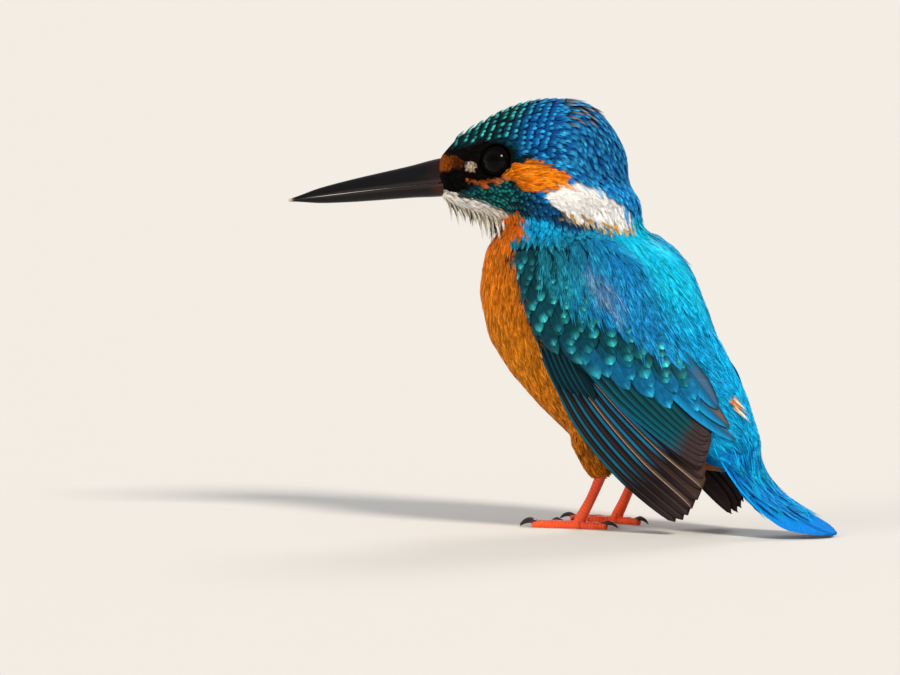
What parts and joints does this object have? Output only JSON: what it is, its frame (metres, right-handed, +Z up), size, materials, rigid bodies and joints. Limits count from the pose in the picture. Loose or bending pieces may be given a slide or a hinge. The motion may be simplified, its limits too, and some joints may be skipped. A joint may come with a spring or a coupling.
{
  "type": "kingfisher",
  "caption": "Standing common kingfisher at life size: folded wings, dagger bill, head turned to its left, tail tip laid on the floor.",
  "frame": {"origin": "middle of the bottom of the bounding box, on the floor between the toes and the tail tip", "axes": "+Z up; the body faces -Y and the tail points to +Y; +X is the bird's left side"},
  "size_m": [0.0482, 0.1338, 0.1008],
  "materials": {
    "plumage_orange": "soft matte feather",
    "plumage_blue": "silky feather with a low gloss",
    "plumage_teal": "feather with bright bars and spots",
    "plumage_brown": "smooth flight feather",
    "bill_horn": "polished black horn",
    "eye": "wet gloss",
    "foot_skin": "fine scales, satin",
    "claw_horn": "satin black horn"
  },
  "bodies": {
    "root": {"trunk": "plumage_orange", "neck": "plumage_blue", "head": "plumage_teal", "bill_upper": "bill_horn", "bill_lower": "bill_horn", "tail": "plumage_blue", "eye_left": "eye", "wing_left_primaries": "plumage_brown", "wing_left_secondaries": "plumage_teal", "wing_left_coverts": "plumage_blue", "thigh_left": "plumage_orange", "tarsus_left": "foot_skin", "foot_left": "foot_skin", "claw_left_1": "claw_horn", "claw_left_2": "claw_horn", "claw_left_3": "claw_horn", "claw_left_4": "claw_horn", "eye_right": "eye", "wing_right_primaries": "plumage_brown", "wing_right_secondaries": "plumage_teal", "wing_right_coverts": "plumage_blue", "thigh_right": "plumage_orange", "tarsus_right": "foot_skin", "foot_right": "foot_skin", "claw_right_1": "claw_horn", "claw_right_2": "claw_horn", "claw_right_3": "claw_horn", "claw_right_4": "claw_horn"}
  },
  "joints": []
}
